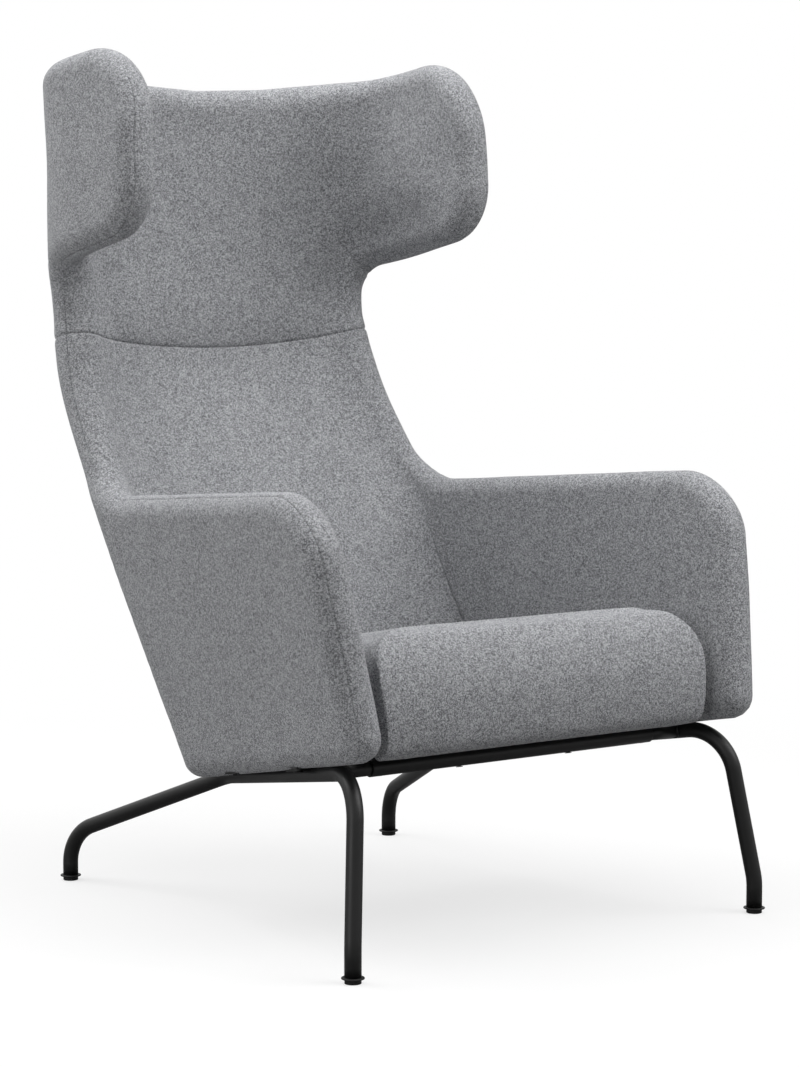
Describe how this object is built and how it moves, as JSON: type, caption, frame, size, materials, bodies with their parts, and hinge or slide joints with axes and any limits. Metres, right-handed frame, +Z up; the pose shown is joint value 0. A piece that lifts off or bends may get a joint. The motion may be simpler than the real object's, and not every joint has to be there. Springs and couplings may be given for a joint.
{
  "type": "high back lounge chair",
  "caption": "Acoustic lounge chair: one felt-covered shell curves from arms to a waisted back and winged head, over a loose seat cushion on a bent black steel tube base.",
  "frame": {"origin": "on the floor, under the middle of the chair's bounding box", "axes": "+Z up, -Y is the way the sitter faces, +X to the sitter's left"},
  "size_m": [0.7146, 0.8902, 1.1408],
  "materials": {
    "felt": "matt melange wool felt",
    "powder_coat": "satin powder coat",
    "nylon": "moulded nylon",
    "zinc": "zinc plated",
    "inner_steel": "bare dark steel, primed",
    "foam": "open-cell foam pads",
    "webbing": "woven elastic webbing and lining cloth"
  },
  "bodies": {
    "root": {"front_cross_tube": "powder_coat", "front_left_stub": "powder_coat", "front_left_lock_screw": "zinc", "front_right_stub": "powder_coat", "front_right_lock_screw": "zinc", "rear_cross_tube": "powder_coat", "rear_left_stub": "powder_coat", "rear_left_lock_screw": "zinc", "rear_right_stub": "powder_coat", "rear_right_lock_screw": "zinc", "front_left_tab": "powder_coat", "front_left_shell_bolt": "zinc", "rear_left_tab": "powder_coat", "rear_left_shell_bolt": "zinc", "front_right_tab": "powder_coat", "front_right_shell_bolt": "zinc", "rear_right_tab": "powder_coat", "rear_right_shell_bolt": "zinc", "deck_front_bar": "powder_coat", "deck_rear_bar": "powder_coat", "deck_left_bar": "powder_coat", "deck_right_bar": "powder_coat", "seat_webbing_1": "webbing", "seat_webbing_2": "webbing", "seat_webbing_3": "webbing", "seat_webbing_4": "webbing", "seat_deck_cloth": "webbing", "front_left_deck_bolt": "zinc", "front_right_deck_bolt": "zinc", "rear_left_deck_bolt": "zinc", "rear_right_deck_bolt": "zinc", "seat_cushion_cover": "felt", "seat_cushion_zip": "webbing", "seat_cushion_foam": "foam", "left_side_frame": "powder_coat", "right_side_frame": "powder_coat", "front_left_glide": "nylon", "rear_left_glide": "nylon", "front_right_glide": "nylon", "rear_right_glide": "nylon", "left_shell_frame": "inner_steel", "right_shell_frame": "inner_steel", "lumbar_cross_rod": "inner_steel", "neck_cross_rod": "inner_steel", "head_cross_rod": "inner_steel", "back_foam": "foam", "head_foam": "foam", "right_arm_foam": "foam", "left_arm_foam": "foam", "right_wing_foam": "foam", "left_wing_foam": "foam", "outer_cover": "felt", "back_cover": "felt", "head_cover": "felt", "right_arm_cover": "felt", "left_arm_cover": "felt"}
  },
  "joints": []
}
